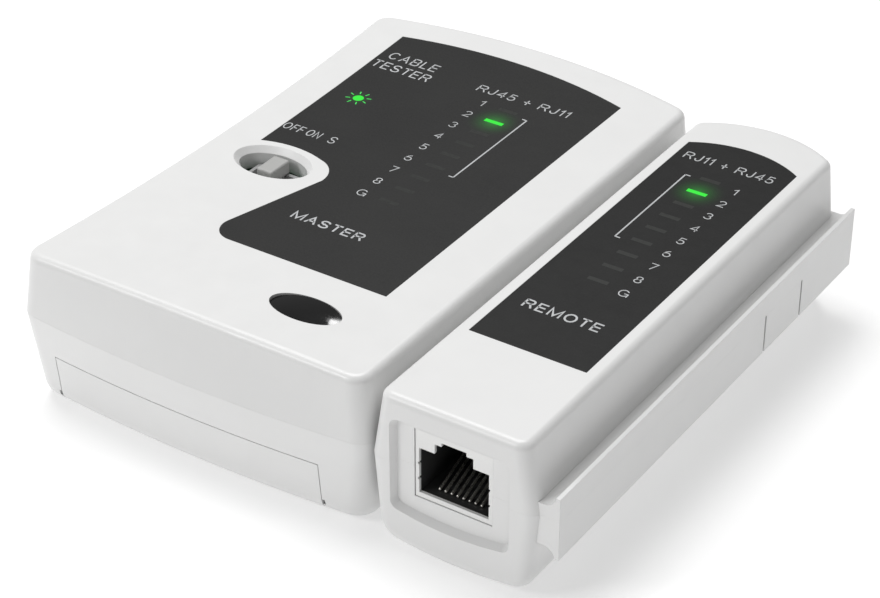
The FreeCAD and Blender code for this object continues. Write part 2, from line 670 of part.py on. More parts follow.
def master_bottom_shell():
    form, shell = master_lower_skin()
    wall_y = DOOR_Y1 + BATTERY_WALL_GAP
    added = [post(x, y, BASE_BOSS_R, 0, MASTER_SPLIT).common(form) for x, y in MASTER_SCREWS]
    added += [p["backing"].common(form) for p in MASTER_PORTS]
    added.append(rail(MASTER_X1, MASTER_RAIL_START, MASTER_SPLIT).common(below(MASTER_SPLIT)))
    added.append(block(BATTERY_X0 - BATTERY_WALL_SIDE, BATTERY_X1 + BATTERY_WALL_SIDE,
                       wall_y, wall_y + BATTERY_WALL_T, WALL - 0.5, MASTER_SPLIT))
    added.append(lip_ring(0))
    shell = fuse_all(shell, added)
    cuts = [door_zone(DOOR_GAP)] + tongue_slots() + screw_passages(MASTER_SCREWS, MASTER_SPLIT)
    cuts += [c for p in MASTER_PORTS for c in p["cuts"]]
    return cut_all(shell, cuts)


def battery_door():
    skin = master_lower_skin()[1].common(door_zone(0))
    tongue_z = WALL + DOOR_GAP
    tongue_y0 = FRONT_Y + TONGUE_START
    for x, side in ((DOOR_X0, -1), (DOOR_X1, 1)):
        inner = x - side * TONGUE_ROOT
        outer = x + side * TONGUE_W
        skin = skin.fuse(block(min(inner, outer), max(inner, outer), tongue_y0, DOOR_Y1,
                               tongue_z, tongue_z + TONGUE_T))
        skin = skin.fuse(block(min(inner, x), max(inner, x), tongue_y0, DOOR_Y1, WALL - 0.2, tongue_z))
    grips = [centred(MASTER_XC, FRONT_Y + y, GRIP_W, GRIP_L, -1, GRIP_DEPTH) for y in GRIP_PLACES]
    return cut_all(skin, grips)


def remote_half(upper):
    split = REMOTE_SPLIT
    form = remote_form(0).common(above(split) if upper else below(split))
    if upper:
        form = form.makeFillet(REMOTE_CORNER_R, edges_through(form, split))
        form = form.makeFillet(TOP_EDGE_R, edges_at(form, CASE_H))
    else:
        seams = [e for e in form.Edges if e.BoundBox.YLength > REMOTE_L / 2 and e.BoundBox.ZMax < split - 1]
        form = form.makeFillet(REMOTE_BELLY_R, seams)
        rim = [e for e in form.Edges if e.BoundBox.YLength < 8 and e.BoundBox.ZMin < split - 1]
        form = form.makeFillet(REMOTE_CORNER_R, rim)
    return form


def remote_shell(upper):
    split = REMOTE_SPLIT
    side = above(split) if upper else below(split)
    form = remote_half(upper)
    shell = form.cut(remote_form(WALL).common(side))
    start = MASTER_RAIL_START - GROOVE_END_GAP
    channel = groove(RAIL_CLEAR + GROOVE_WALL, start - GROOVE_WALL).common(form)
    right_rail = rail(REMOTE_X1, REMOTE_RAIL_START, split).common(side)
    boss_r = TOP_BOSS_R if upper else BASE_BOSS_R
    added = [channel, right_rail]
    added += [post(x, y, boss_r, 0, CASE_H).common(form) for x, y in REMOTE_SCREWS]
    added += [p["backing"].common(form) for p in REMOTE_PORTS]
    if upper:
        added += [post(x, y, STANDOFF_R, BOARD_TOP, CEILING + 0.5) for x, y in REMOTE_STANDOFFS]
    shell = fuse_all(shell, added)
    cuts = [groove(RAIL_CLEAR, start)] + [c for p in REMOTE_PORTS for c in p["cuts"]]
    if upper:
        cuts.append(prism(remote_label_edges(CASE_H - LABEL_DEPTH), V(0, 0, 1)))
        cuts += windows(REMOTE_LIGHT_X, REMOTE_LIGHT_Y)
        cuts += pilot_holes(REMOTE_SCREWS, split)
    else:
        cuts += screw_passages(REMOTE_SCREWS, split)
    return cut_all(shell, cuts)


# Label sheets

def label(edges_at_height, holes):
    sheet = prism(edges_at_height(CASE_H - LABEL_DEPTH), V(0, 0, LABEL_T))
    return cut_all(sheet, holes)


# Boards

def master_board():
    edge = MASTER_BOARD_EDGE
    board = block(MASTER_X0 + edge["left"], MASTER_X1 - edge["right"], FRONT_Y + edge["front"],
                  MASTER_PORT_Y - edge["back"], BOARD_BASE, BOARD_TOP)
    cuts = [post(x, y, TOP_BOSS_R + BOSS_CLEAR, 0, CASE_H) for x, y in MASTER_SCREWS]
    cuts += [post(x, y, BOARD_SCREW_R + 0.2, 0, CASE_H) for x, y in BOARD_SCREWS]
    return cut_all(board, cuts)


def remote_board():
    edge = REMOTE_BOARD_EDGE
    board = block(REMOTE_X0 + edge["side"], REMOTE_X1 - edge["side"],
                  REMOTE_FRONT_PORT_Y + WALL + edge["front"], REMOTE_BACK_PORT_Y - edge["back"],
                  BOARD_BASE, BOARD_TOP)
    return cut_all(board, [post(x, y, TOP_BOSS_R + BOSS_CLEAR, 0, CASE_H) for x, y in REMOTE_SCREWS])


def chip(x, y):
    # A small-outline package under the board with gull-wing legs.
    width, length, height = CHIP_BODY
    leg_w, reach, leg_t = CHIP_LEG
    body_top = BOARD_BASE - CHIP_FLOAT
    leg_z = body_top - height / 2
    shapes = [centred(x, y, width, length, body_top - height, body_top)]
    for n in range(CHIP_PINS):
        leg_x = x + (n - (CHIP_PINS - 1) / 2) * CHIP_PITCH
        for side in (-1, 1):
            near = y + side * length / 2
            far = near + side * reach
            foot = far - side * leg_t
            x0 = leg_x - leg_w / 2
            x1 = leg_x + leg_w / 2
            shapes.append(block(x0, x1, min(near, far), max(near, far), leg_z - leg_t / 2, leg_z + leg_t / 2))
            shapes.append(block(x0, x1, min(foot, far), max(foot, far), leg_z + leg_t / 2, BOARD_BASE))
    return Part.makeCompound(shapes)


def row_of_parts(x, y, pitch, count, size):
    return Part.makeCompound([centred(x + n * pitch, y, size[0], size[1], BOARD_BASE - size[2], BOARD_BASE)
                              for n in range(count)])


# Switches and button

def switch_housing():
    body = centred(SWITCH_X, SWITCH_Y, SWITCH_W, SWITCH_L, BOARD_TOP, BOARD_TOP + SWITCH_H)
    slot_w = KNOB_STEM[0] + 2 * (KNOB_TRAVEL + SWITCH_SLOT_SPARE)
    slot = centred(SWITCH_X, SWITCH_Y, slot_w, KNOB_STEM[1] + 0.6, BOARD_TOP + 0.25, BOARD_TOP + SWITCH_H + 1)
    return body.cut(slot)


def switch_knob():
    cap_base = BOARD_TOP + SWITCH_H + KNOB_FLOAT
    cap_top = CASE_H - KNOB_TOP_GAP
    cap = centred(SWITCH_X, SWITCH_Y, KNOB_W, KNOB_L, cap_base, cap_top)
    cap = cap.makeFillet(KNOB_EDGE_R, edges_at(cap, cap_top) + edges_through(cap, cap_base))
    stem = centred(SWITCH_X, SWITCH_Y, KNOB_STEM[0], KNOB_STEM[1], BOARD_TOP + 0.5, cap_base + 0.5)
    return cap.fuse(stem)


def test_button():
    flange_top = CEILING - BUTTON_SEAT
    flange_base = flange_top - BUTTON_FLANGE_T
    crown = CASE_H + BUTTON_PROUD
    cap = oval_post(BUTTON_X, BUTTON_Y, BUTTON_AXES, flange_top - 0.2, crown)
    ball = Part.makeSphere(BUTTON_DOME_R, V(BUTTON_X, BUTTON_Y, crown - BUTTON_DOME_R))
    flange_axes = [axis + BUTTON_FLANGE for axis in BUTTON_AXES]
    flange = oval_post(BUTTON_X, BUTTON_Y, flange_axes, flange_base, flange_top)
    stem = post(BUTTON_X, BUTTON_Y, BUTTON_STEM_R, plunger_top(), flange_base + 0.3)
    return cap.common(ball).fuse(flange).fuse(stem)


def plunger_top():
    return CEILING - BUTTON_FLANGE_T - 2 * BUTTON_SEAT


def tact_housing():
    body = centred(BUTTON_X, BUTTON_Y, TACT_W, TACT_W, BOARD_TOP, BOARD_TOP + TACT_H)
    return body.cut(post(BUTTON_X, BUTTON_Y, PLUNGER_R + PLUNGER_CLEAR, BOARD_TOP - 1, CASE_H))


def tact_plunger():
    return post(BUTTON_X, BUTTON_Y, PLUNGER_R, BOARD_TOP + BUTTON_TRAVEL + 0.1, plunger_top())


# Battery group

def battery():
    y1 = BATTERY_Y0 + BATTERY[1]
    body = block(BATTERY_X0, BATTERY_X1, BATTERY_Y0, y1, BATTERY_Z0, BATTERY_Z0 + BATTERY[2])
    long_edges = [edge for edge in body.Edges if edge.BoundBox.XLength > BATTERY[0] / 2]
    return body.makeFillet(BATTERY_EDGE_R, long_edges)


def terminal_places():
    y = BATTERY_Y0 + BATTERY[1] / 2
    return [y - TERMINAL_PITCH / 2, y + TERMINAL_PITCH / 2]


def battery_terminals():
    z = BATTERY_Z0 + BATTERY[2] / 2
    return Part.makeCompound([Part.makeCylinder(r, TERMINAL_H, V(BATTERY_X1, y, z), V(1, 0, 0))
                              for r, y in zip(TERMINAL_R, terminal_places())])


def snap_x1():
    return BATTERY_X1 + TERMINAL_H + SNAP_COVER


def snap_connector():
    z = BATTERY_Z0 + BATTERY[2] / 2
    y = BATTERY_Y0 + BATTERY[1] / 2
    half_l, half_h = SNAP_HALF
    body = block(BATTERY_X1 + SNAP_GAP, snap_x1(), y - half_l, y + half_l, z - half_h, z + half_h)
    holes = [Part.makeCylinder(r + TERMINAL_CLEAR, TERMINAL_H, V(BATTERY_X1, place, z), V(1, 0, 0))
             for r, place in zip(TERMINAL_R, terminal_places())]
    return cut_all(body, holes)


def lead(y, z, x, end_y):
    points = [V(snap_x1(), y, z), V(x, y, z), V(x, end_y, z), V(x, end_y, BOARD_BASE)]
    return tube(points, LEAD_R, LEAD_BEND)


# Screws

def case_screws(places):
    screws = []
    for x, y in places:
        head = post(x, y, CASE_HEAD_R, CASE_HEAD_SEAT - CASE_HEAD_H, CASE_HEAD_SEAT)
        cross_top = CASE_HEAD_SEAT - CASE_HEAD_H + CROSS_DEPTH
        cross = [centred(x, y, w, d, -1, cross_top) for w, d in (CROSS_SLOT, CROSS_SLOT[::-1])]
        head = cut_all(head, cross)
        screws.append(head.fuse(post(x, y, CASE_SCREW_R, CASE_HEAD_SEAT - HEAD_OVERLAP, CASE_SCREW_TOP)))
    return Part.makeCompound(screws)


def board_screws():
    screws = []
    for x, y in BOARD_SCREWS:
        head = post(x, y, BOARD_HEAD_R, BOARD_BASE - BOARD_HEAD_H, BOARD_BASE)
        screws.append(head.fuse(post(x, y, BOARD_SCREW_R, BOARD_BASE - HEAD_OVERLAP, CEILING - 0.2)))
    return Part.makeCompound(screws)


# Every node of the assembly

nodes = {
    "master_top_shell": master_top_shell(),
    "master_bottom_shell": master_bottom_shell(),
    "battery_door": battery_door(),
    "master_label": label(master_label_edges, windows(MASTER_LIGHT_X, MASTER_LIGHT_Y) + [power_window()]),
    "master_light_windows": Part.makeCompound(windows(MASTER_LIGHT_X, MASTER_LIGHT_Y)),
    "power_light_window": power_window(),
    "master_board": master_board(),
    "master_leds": leds(MASTER_LIGHT_X, MASTER_LIGHT_Y),
    "power_led": centred(POWER_X, POWER_Y, LED_L, LED_L, BOARD_TOP, BOARD_TOP + LED_H),
    "master_chip": chip(MASTER_XC, FRONT_Y + 60.0),
    "master_resistors": row_of_parts(MASTER_XC - 12.0, FRONT_Y + 50.0, 4.0, 7, RESISTOR),
    "master_capacitor": post(MASTER_X1 - 14.0, FRONT_Y + 72.0, CAPACITOR[0],
                             BOARD_BASE - CAPACITOR[1], BOARD_BASE),
    "switch_housing": switch_housing(),
    "switch_knob": switch_knob(),
    "test_button": test_button(),
    "button_switch_housing": tact_housing(),
    "button_switch_plunger": tact_plunger(),
    "battery": battery(),
    "battery_terminals": battery_terminals(),
    "battery_snap": snap_connector(),
    "battery_lead_red": lead(BATTERY_Y0 + 16.0, WALL + 9.2, MASTER_X1 - 3.7, FRONT_Y + 46.0),
    "battery_lead_black": lead(BATTERY_Y0 + 10.0, WALL + 7.5, MASTER_X1 - 5.05, FRONT_Y + 50.0),
    "master_case_screws": case_screws(MASTER_SCREWS),
    "master_board_screws": board_screws(),
    "remote_top_shell": remote_shell(True),
    "remote_bottom_shell": remote_shell(False),
    "remote_label": label(remote_label_edges, windows(REMOTE_LIGHT_X, REMOTE_LIGHT_Y)),
    "remote_light_windows": Part.makeCompound(windows(REMOTE_LIGHT_X, REMOTE_LIGHT_Y)),
    "remote_board": remote_board(),
    "remote_leds": leds(REMOTE_LIGHT_X, REMOTE_LIGHT_Y),
    "remote_diodes": row_of_parts(REMOTE_XC - 5.5, FRONT_Y + 46.0, 3.0, 4, DIODE),
    "remote_case_screws": case_screws(REMOTE_SCREWS),
}
nodes.update(socket_nodes("master_rj45", RJ45, MASTER_RJ45_X, MASTER_PORT_Y, 1))
nodes.update(socket_nodes("master_rj11", RJ11, MASTER_RJ11_X, MASTER_PORT_Y, 1))
nodes.update(socket_nodes("remote_rj45", RJ45, REMOTE_PORT_X, REMOTE_FRONT_PORT_Y, -1))
nodes.update(socket_nodes("remote_rj11", RJ11, REMOTE_XC, REMOTE_BACK_PORT_Y, 1))

os.makedirs("parts", exist_ok=True)
for name, shape in nodes.items():
    shape.exportStep("parts/" + name + ".step")
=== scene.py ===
import math

import bpy
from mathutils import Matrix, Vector


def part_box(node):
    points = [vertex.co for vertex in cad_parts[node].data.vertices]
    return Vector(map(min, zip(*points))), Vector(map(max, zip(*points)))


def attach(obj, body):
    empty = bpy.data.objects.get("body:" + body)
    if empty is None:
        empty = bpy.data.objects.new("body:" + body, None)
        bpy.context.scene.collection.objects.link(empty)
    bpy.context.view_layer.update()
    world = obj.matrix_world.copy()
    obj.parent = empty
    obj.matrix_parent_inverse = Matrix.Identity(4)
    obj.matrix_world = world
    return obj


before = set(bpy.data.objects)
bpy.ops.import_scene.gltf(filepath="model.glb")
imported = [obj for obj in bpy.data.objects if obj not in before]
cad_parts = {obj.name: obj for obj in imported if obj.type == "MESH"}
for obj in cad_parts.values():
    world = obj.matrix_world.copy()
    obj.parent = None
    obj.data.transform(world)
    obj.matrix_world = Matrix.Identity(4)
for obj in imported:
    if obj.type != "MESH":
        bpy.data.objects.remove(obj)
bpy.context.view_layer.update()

MM = 0.001


# ---------------------------------------------------------------- places read from the frame

def low(node):
    return Vector(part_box(node)[0])


def high(node):
    return Vector(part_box(node)[1])


DOCK_GAP = 0.3 * MM
REMOTE_LEFT = low("remote_bottom_shell").x
MASTER_RIGHT = REMOTE_LEFT - DOCK_GAP
FRONT = low("remote_bottom_shell").y
TOP = high("master_top_shell").z
LABEL_TOP = high("master_label").z
LIGHT_COUNT = 9
WINDOW_HALF = 0.45 * MM         # half a light window along Y


def light_rows(node):
    # Middle of every light window along Y, nearest the user first.
    first = low(node).y + WINDOW_HALF
    last = high(node).y - WINDOW_HALF
    pitch = (last - first) / (LIGHT_COUNT - 1)
    return [first + n * pitch for n in range(LIGHT_COUNT)]


MASTER_ROWS = light_rows("master_light_windows")
REMOTE_ROWS = light_rows("remote_light_windows")
MASTER_LIGHT_X = (low("master_light_windows").x + high("master_light_windows").x) / 2
REMOTE_LIGHT_X = (low("remote_light_windows").x + high("remote_light_windows").x) / 2
POWER_LIGHT = (low("power_light_window") + high("power_light_window")) / 2
LIT_ROW = 7                     # the second light from the back is on
GREEN = (0.03, 0.95, 0.06)
CREVICE_REACH = 2.5 * MM        # how far a neighbouring wall reaches with the painted crevice shade
CREVICE_SHADE_COLOUR = 0.45             # colour share left where the painted crevice shade is deepest
CREVICE_RANGE = (0.15, 0.85)    # openness that counts as fully closed and fully open


# ---------------------------------------------------------------- material building blocks

class Shader:
    """A node tree with one Principled shader and short calls to feed it."""

    def __init__(self, name):
        self.material = bpy.data.materials.new(name)
        self.material.use_nodes = True
        self.tree = self.material.node_tree
        self.principled = self.tree.nodes["Principled BSDF"]
        self.place = self.add("ShaderNodeTexCoord").outputs["Object"]

    def add(self, kind, **settings):
        node = self.tree.nodes.new(kind)
        for key, value in settings.items():
            setattr(node, key, value)
        return node

    def link(self, source, target):
        self.tree.links.new(source, target)

    def set(self, **values):
        for key, value in values.items():
            self.principled.inputs[key.replace("_", " ")].default_value = value

    def noise(self, size_mm, detail=3.0, rough=0.55, distortion=0.0):
        node = self.add("ShaderNodeTexNoise")
        node.inputs["Scale"].default_value = 1000.0 / size_mm
        node.inputs["Detail"].default_value = detail
        node.inputs["Roughness"].default_value = rough
        node.inputs["Distortion"].default_value = distortion
        self.link(self.place, node.inputs["Vector"])
        return node.outputs["Fac"]

    def spread(self, source, out_low, out_high, in_low=0.3, in_high=0.7):
        node = self.add("ShaderNodeMapRange")
        node.inputs["From Min"].default_value = in_low
        node.inputs["From Max"].default_value = in_high
        node.inputs["To Min"].default_value = out_low
        node.inputs["To Max"].default_value = out_high
        self.link(source, node.inputs["Value"])
        return node.outputs["Result"]

    def mix(self, factor, a, b):
        node = self.add("ShaderNodeMix", data_type="RGBA")
        for socket, value in ((node.inputs[0], factor), (node.inputs[6], a), (node.inputs[7], b)):
            if isinstance(value, bpy.types.NodeSocket):
                self.link(value, socket)
            elif isinstance(value, float):
                socket.default_value = value
            else:
                socket.default_value = (*value, 1.0)
        return node.outputs[2]

    def math(self, operation, a, b=0.0):
        node = self.add("ShaderNodeMath", operation=operation)
        for socket, value in ((node.inputs[0], a), (node.inputs[1], b)):
            if isinstance(value, bpy.types.NodeSocket):
                self.link(value, socket)
            else:
                socket.default_value = value
        return node.outputs[0]

    def soft_edge(self, radius_mm):
        # Sharp edges catch the light as if they had this radius.
        node = self.add("ShaderNodeBevel", samples=4)
        node.inputs["Radius"].default_value = radius_mm * MM
        return node.outputs["Normal"]

    def bump(self, height, depth_mm, after=None):
        node = self.add("ShaderNodeBump")
        node.inputs["Strength"].default_value = 1.0
        node.inputs["Distance"].default_value = depth_mm * MM
        self.link(height, node.inputs["Height"])
        if after is not None:
            self.link(after, node.inputs["Normal"])
        return node.outputs["Normal"]

    def colour(self, source):
        self.link(source, self.principled.inputs["Base Color"])

    def roughness(self, source):
        self.link(source, self.principled.inputs["Roughness"])

    def normal(self, source):
        self.link(source, self.principled.inputs["Normal"])

    def near(self, centre, reach_mm, fade_mm):
        # 1 inside reach of a point, falling to 0 over the fade.
        node = self.add("ShaderNodeVectorMath", operation="DISTANCE")
        node.inputs[1].default_value = centre
        self.link(self.place, node.inputs[0])
        return self.spread(node.outputs["Value"], 1.0, 0.0, reach_mm * MM, (reach_mm + fade_mm) * MM)


def tint(colour, factor):
    return tuple(min(1.0, c * factor) for c in colour)


def moulded(name, colour, rough, grain_mm, grain_depth, mottle, crevice_shade=0.0, edge_mm=0.0):
    """Injection-moulded plastic: spark-eroded grain, faint flow mottling and handling marks.

    Crevice shade is painted shade: ambient occlusion darkens the colour in crevices by that share. Edge
    gives sharp edges a soft highlight of that radius.
    """
    s = Shader(name)
    flow = s.noise(9.0, 3.0, 0.6, 0.6)
    fine = s.noise(grain_mm, 2.0, 0.6)
    base = s.mix(s.spread(flow, 0.0, 1.0), tint(colour, 1.0 - mottle), tint(colour, 1.0 + mottle))
    # painted shade: ambient occlusion darkens the colour in crevices and between parts
    if crevice_shade:
        node = s.add("ShaderNodeAmbientOcclusion", samples=8)
        node.inputs["Distance"].default_value = CREVICE_REACH
        shade = s.spread(node.outputs["AO"], crevice_shade, 0.0, *CREVICE_RANGE)
        base = s.mix(shade, base, tint(colour, CREVICE_SHADE_COLOUR))
    s.colour(base)
    handling = s.noise(5.0, 4.0, 0.65)
    s.roughness(s.spread(handling, rough - 0.05, rough + 0.06))
    s.normal(s.bump(fine, grain_depth, s.soft_edge(edge_mm) if edge_mm else None))
    return s


def plain_metal(name, colour, rough):
    """Metal with a fine grain and slight tarnish."""
    s = Shader(name)
    s.set(Metallic=1.0)
    grain = s.noise(0.12, 2.0, 0.5)
    tarnish = s.noise(1.4, 3.0, 0.6)
    s.colour(s.mix(s.spread(tarnish, 0.0, 1.0), tint(colour, 0.82), colour))
    s.roughness(s.spread(grain, rough - 0.06, rough + 0.1))
    s.normal(s.bump(grain, 0.002))
    return s


def dress(nodes, shader):
    for name in nodes:
        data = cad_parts[name].data
        data.materials.clear()
        data.materials.append(shader.material)


# ---------------------------------------------------------------- materials of the CAD nodes

def case_plastic():
    return moulded("case_white", (0.80, 0.80, 0.795), 0.33, grain_mm=0.20, grain_depth=0.004,
                   mottle=0.008, crevice_shade=0.40, edge_mm=0.10)


GLOW_FALLOFF = 3.0
GLOW_STRENGTH = 0.17
LIT_STRENGTH = 0.85


def label_film(name, lit_x, lit_y, shade_factor, power=None):
    """Satin dark film, darkened by a shade factor that is painted shade. The lit windows' soft green glow
    over it is painted on as emission.
    """
    s = Shader(name)
    fleck = s.noise(0.35, 3.0, 0.7)
    cloud = s.noise(14.0, 2.0, 0.5)
    dark = s.mix(s.spread(fleck, 0.0, 1.0), tint((0.010, 0.010, 0.0098), shade_factor),
                 tint((0.021, 0.021, 0.0205), shade_factor))
    s.colour(s.mix(s.spread(cloud, 0.0, 0.3), dark, tint((0.026, 0.026, 0.025), shade_factor)))
    s.set(Specular_IOR_Level=0.22)
    s.roughness(s.spread(s.noise(3.0, 4.0, 0.6), 0.42, 0.52))
    s.normal(s.bump(s.noise(0.16, 2.0, 0.6), 0.004))
    # painted glow: the film itself emits green around the lit window and around the power light
    glow = s.math("POWER", s.near((lit_x, lit_y, LABEL_TOP), 0.6, 5.0), GLOW_FALLOFF)
    if power is not None:
        around = s.math("POWER", s.near((power.x, power.y, LABEL_TOP), 0.4, 3.0), GLOW_FALLOFF)
        glow = s.math("ADD", glow, s.math("MULTIPLY", around, 0.4))
    s.set(Emission_Color=(*GREEN, 1.0))
    s.link(s.math("MULTIPLY", glow, GLOW_STRENGTH), s.principled.inputs["Emission Strength"])
    return s


def window_plastic(name, lit_x, lit_y):
    """Smoked light guides; the lit one glows green from behind."""
    s = Shader(name)
    streak = s.noise(0.5, 2.0, 0.5)
    s.colour(s.mix(s.spread(streak, 0.0, 1.0), (0.013, 0.014, 0.013), (0.022, 0.024, 0.021)))
    s.set(Specular_IOR_Level=0.3)
    s.roughness(s.spread(streak, 0.34, 0.44))
    s.normal(s.bump(s.noise(0.3), 0.003))
    s.set(Emission_Color=(0.015, 1.0, 0.03, 1.0))
    on = s.near((lit_x, lit_y, LABEL_TOP), 2.0, 0.2)
    s.link(s.math("MULTIPLY", on, LIT_STRENGTH), s.principled.inputs["Emission Strength"])
    return s


def board_laminate():
    s = moulded("board_green", (0.02, 0.13, 0.05), 0.35, 0.5, 0.004, 0.10)
    s.set(Coat_Weight=0.4, Coat_Roughness=0.2)
    return s


def lit_lens():
    s = moulded("led_green", (0.35, 0.85, 0.40), 0.2, 0.3, 0.001, 0.05)
    s.set(Emission_Color=(*GREEN, 1.0), Emission_Strength=0.6)
    return s


def glossy_cap():
    s = moulded("button_black", (0.005, 0.005, 0.005), 0.11, 1.5, 0.002, 0.1)
    s.set(Specular_IOR_Level=0.35)
    return s


def battery_sleeve():
    """Plain printed steel sleeve: dark body, a metal band at the terminal end."""
    s = Shader("battery_sleeve")
    axis = s.add("ShaderNodeSeparateXYZ")
    s.link(s.place, axis.inputs["Vector"])
    band_start = high("battery").x - 12.2 * MM
    band = s.spread(axis.outputs["X"], 0.0, 1.0, band_start, band_start + 0.2 * MM)
    print_dots = s.noise(0.3, 2.0, 0.5)
    body = s.mix(s.spread(print_dots, 0.0, 1.0), (0.020, 0.022, 0.030), (0.032, 0.034, 0.045))
    s.colour(s.mix(band, body, (0.42, 0.24, 0.10)))
    s.link(s.math("MULTIPLY", band, 0.8), s.principled.inputs["Metallic"])
    s.roughness(s.spread(s.noise(2.0), 0.25, 0.4))
    s.normal(s.bump(print_dots, 0.002))
    return s


def dress_frame():
    dress(["master_top_shell", "master_bottom_shell", "battery_door", "remote_top_shell",
           "remote_bottom_shell"], case_plastic())
    master_lit = (MASTER_LIGHT_X, MASTER_ROWS[LIT_ROW])
    remote_lit = (REMOTE_LIGHT_X, REMOTE_ROWS[LIT_ROW])
    dress(["master_label"], label_film("master_label_film", *master_lit, 1.0, POWER_LIGHT))
    # the remote's label is the same film as the master's, darkened to 0.55 as painted shade
    dress(["remote_label"], label_film("remote_label_film", *remote_lit, 0.55))
    dress(["master_light_windows"], window_plastic("master_windows", *master_lit))
    dress(["remote_light_windows"], window_plastic("remote_windows", *remote_lit))
    dress(["power_light_window"], window_plastic("power_window", POWER_LIGHT.x, POWER_LIGHT.y))
    dress(["master_board", "remote_board"], board_laminate())
    dress(["master_leds", "remote_leds", "power_led"], lit_lens())
    black = moulded("component_black", (0.018, 0.018, 0.018), 0.5, 0.12, 0.004, 0.12)
    dress(["master_chip", "master_resistors", "master_capacitor", "remote_diodes",
           "button_switch_housing", "button_switch_plunger"], black)
    # painted shade: the 0.2 after the mottle is crevice shade in the switch well; the knob's grey is its
    # own grey darkened further as painted shade on its sides
    dress(["switch_housing"], moulded("switch_grey", (0.36, 0.36, 0.36), 0.5, 0.2, 0.006, 0.05, 0.2))
    dress(["switch_knob"], moulded("knob_grey", (0.42, 0.42, 0.41), 0.45, 0.18, 0.006, 0.04, 0.2, 0.2))
    dress(["test_button"], glossy_cap())
    dress(["battery"], battery_sleeve())
    dress(["battery_snap"], moulded("snap_black", (0.015, 0.015, 0.015), 0.6, 0.3, 0.01, 0.1))
    dress(["battery_lead_red"], moulded("lead_red", (0.45, 0.02, 0.02), 0.4, 0.4, 0.002, 0.06))
    dress(["battery_lead_black"], moulded("lead_black", (0.015, 0.015, 0.015), 0.4, 0.4, 0.002, 0.1))
    dress(["battery_terminals", "master_case_screws", "master_board_screws", "remote_case_screws"],
          plain_metal("steel", (0.55, 0.55, 0.57), 0.32))
    sockets = ["master_rj45", "master_rj11", "remote_rj45", "remote_rj11"]
    dress([name + "_housing" for name in sockets],
          moulded("socket_white", (0.84, 0.84, 0.83), 0.38, 0.25, 0.003, 0.01))
    dress([name + "_liner" for name in sockets],
          moulded("socket_black", (0.035, 0.035, 0.035), 0.35, 0.2, 0.004, 0.1))
    dress([name + "_contacts" for name in sockets],
          plain_metal("contact_gold", (0.86, 0.84, 0.78), 0.28))


# ---------------------------------------------------------------- printed legends

def print_ink(name, colour):
    return moulded(name, colour, 0.5, 0.12, 0.002, 0.12)


def printed(name, verts, faces, body, shader):
    # One closed piece of ink on a label.
    mesh = bpy.data.meshes.new(name)
    mesh.from_pydata(verts, [], faces)
    mesh.update()
    piece = bpy.data.objects.new(name, mesh)
    bpy.context.scene.collection.objects.link(piece)
    piece.data.materials.append(shader.material)
    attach(piece, body)


INK_T = 0.02 * MM
SQUARE_CAP = 0.5                # stroke ends run half a stroke past their last point
ARC_STEPS = 14
MITRE_LIMIT = 0.45              # smallest cosine that widens a corner
TINY = 1e-6


def turn(cx, cy, rx, ry, start, end):
    # Points along an arc, from one angle to another in degrees.
    steps = [math.radians(start + (end - start) * n / ARC_STEPS) for n in range(ARC_STEPS + 1)]
    return [(cx + rx * math.cos(t), cy + ry * math.sin(t)) for t in steps]


BOWL = [(0.0, 1.0)] + turn(0.62, 0.75, 0.34, 0.25, 90, -90) + [(0.0, 0.5)]

